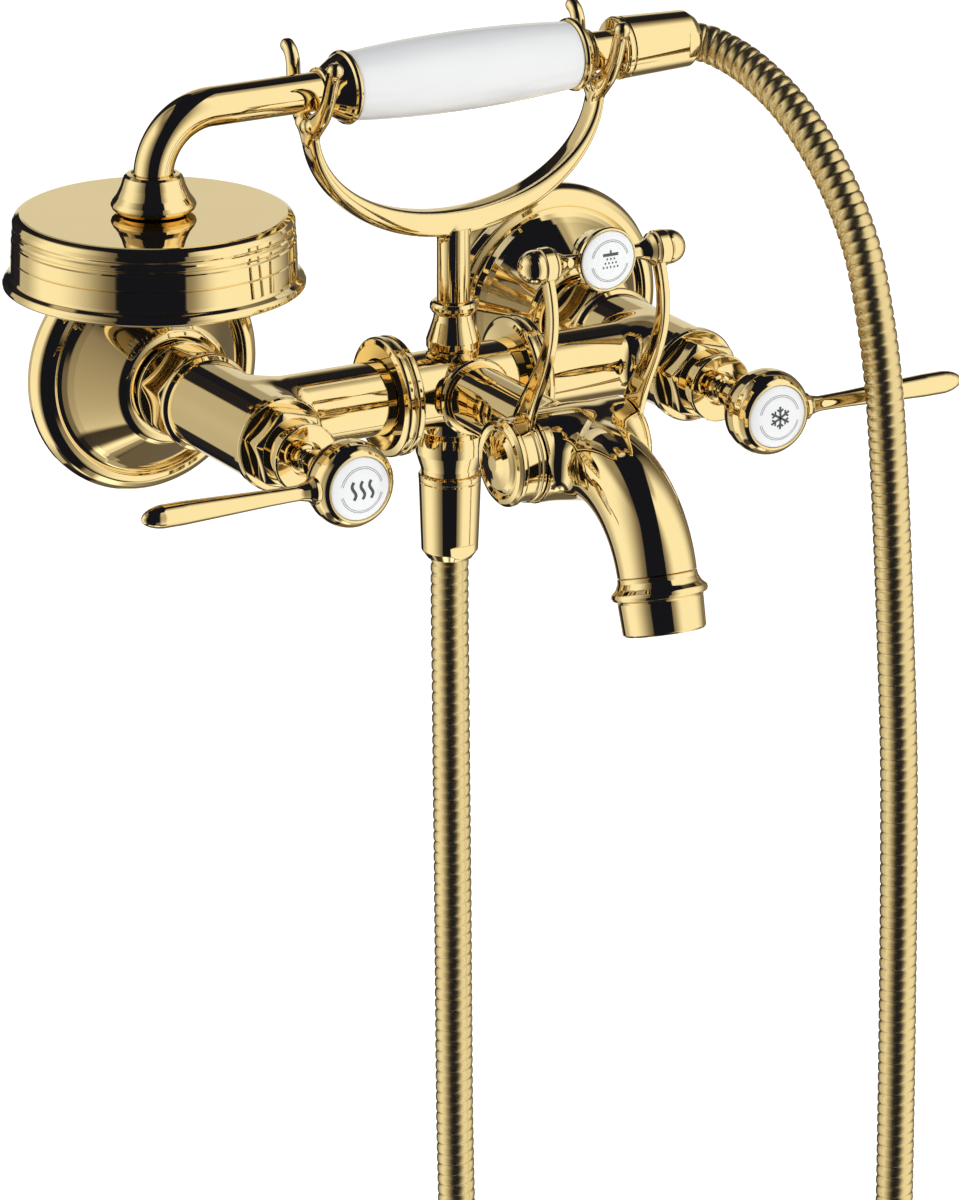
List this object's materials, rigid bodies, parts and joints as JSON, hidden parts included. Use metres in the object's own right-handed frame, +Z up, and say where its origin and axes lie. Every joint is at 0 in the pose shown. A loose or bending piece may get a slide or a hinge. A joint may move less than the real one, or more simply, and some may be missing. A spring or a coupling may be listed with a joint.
{
  "type": "wall mounted bath and shower mixer",
  "caption": "Wall mounted bath mixer with lever handles, curved spout, swinging diverter yoke, and a cradle that holds a hand shower on a metal hose.",
  "frame": {"origin": "midpoint between the two inlets on the wall plane", "axes": "+X to the right along the wall, +Y into the wall, +Z up"},
  "size_m": [0.3006, 0.2286, 0.6637],
  "materials": {
    "polished_gold": "polished",
    "hose_metal": "polished",
    "porcelain": "gloss",
    "valve_ceramic": "lapped",
    "rubber": "matt",
    "nozzle_rubber": "matt",
    "aerator_plastic": "matt"
  },
  "bodies": {
    "mixer": {"inlet_union_left": "polished_gold", "inlet_union_right": "polished_gold", "escutcheon_left": "polished_gold", "escutcheon_right": "polished_gold", "union_nut_left": "polished_gold", "union_nut_right": "polished_gold", "inlet_washer_left": "rubber", "inlet_washer_right": "rubber", "side_body_left": "polished_gold", "side_body_right": "polished_gold", "collar_left": "polished_gold", "collar_right": "polished_gold", "centre_body": "polished_gold", "bonnet_left": "polished_gold", "bonnet_right": "polished_gold", "seat_left": "valve_ceramic", "seat_right": "valve_ceramic", "cradle_base": "polished_gold", "cradle_post": "polished_gold", "cradle": "polished_gold", "outlet_bell": "polished_gold", "outlet_nut": "polished_gold", "front_arm": "polished_gold", "diverter_body": "polished_gold", "spout": "polished_gold", "aerator_housing": "polished_gold", "aerator_insert": "aerator_plastic", "hose": "hose_metal"},
    "hot_handle": {"spindle_left": "polished_gold", "disc_left": "valve_ceramic", "knob_left": "polished_gold", "lever_left": "polished_gold", "cap_left": "porcelain"},
    "cold_handle": {"spindle_right": "polished_gold", "disc_right": "valve_ceramic", "knob_right": "polished_gold", "lever_right": "polished_gold", "cap_right": "porcelain"},
    "yoke": {"diverter_spindle": "polished_gold", "yoke_hub_left": "polished_gold", "yoke_hub_right": "polished_gold", "end_cap_left": "polished_gold", "end_cap_right": "polished_gold", "yoke_arm_left": "polished_gold", "yoke_arm_right": "polished_gold", "crossbar": "polished_gold", "finials": "polished_gold", "yoke_boss": "polished_gold", "yoke_cap": "porcelain"},
    "handset": {"head_shell": "polished_gold", "spray_plate": "polished_gold", "spray_nozzles": "nozzle_rubber", "head_collar": "polished_gold", "arm_tube": "polished_gold", "ferrule_front": "polished_gold", "grip": "porcelain", "ferrule_rear": "polished_gold", "connector": "polished_gold", "handset_nut": "polished_gold"}
  },
  "joints": [
    {"name": "hot_turn", "type": "hinge", "parent": "mixer", "child": "hot_handle", "pos_m": [-0.075, -0.1404, 0], "axis": [0, -1, 0], "range_deg": [0, 90]},
    {"name": "cold_turn", "type": "hinge", "parent": "mixer", "child": "cold_handle", "pos_m": [0.075, -0.1404, 0], "axis": [0, 1, 0], "range_deg": [0, 90]},
    {"name": "yoke_turn", "type": "hinge", "parent": "mixer", "child": "yoke", "pos_m": [0, -0.148, 0.0015], "axis": [1, 0, 0], "range_deg": [0, 45]},
    {"name": "handset_lift", "type": "slide", "parent": "mixer", "child": "handset", "axis": [0, 0, 1], "range_m": [0, 0.06]}
  ]
}
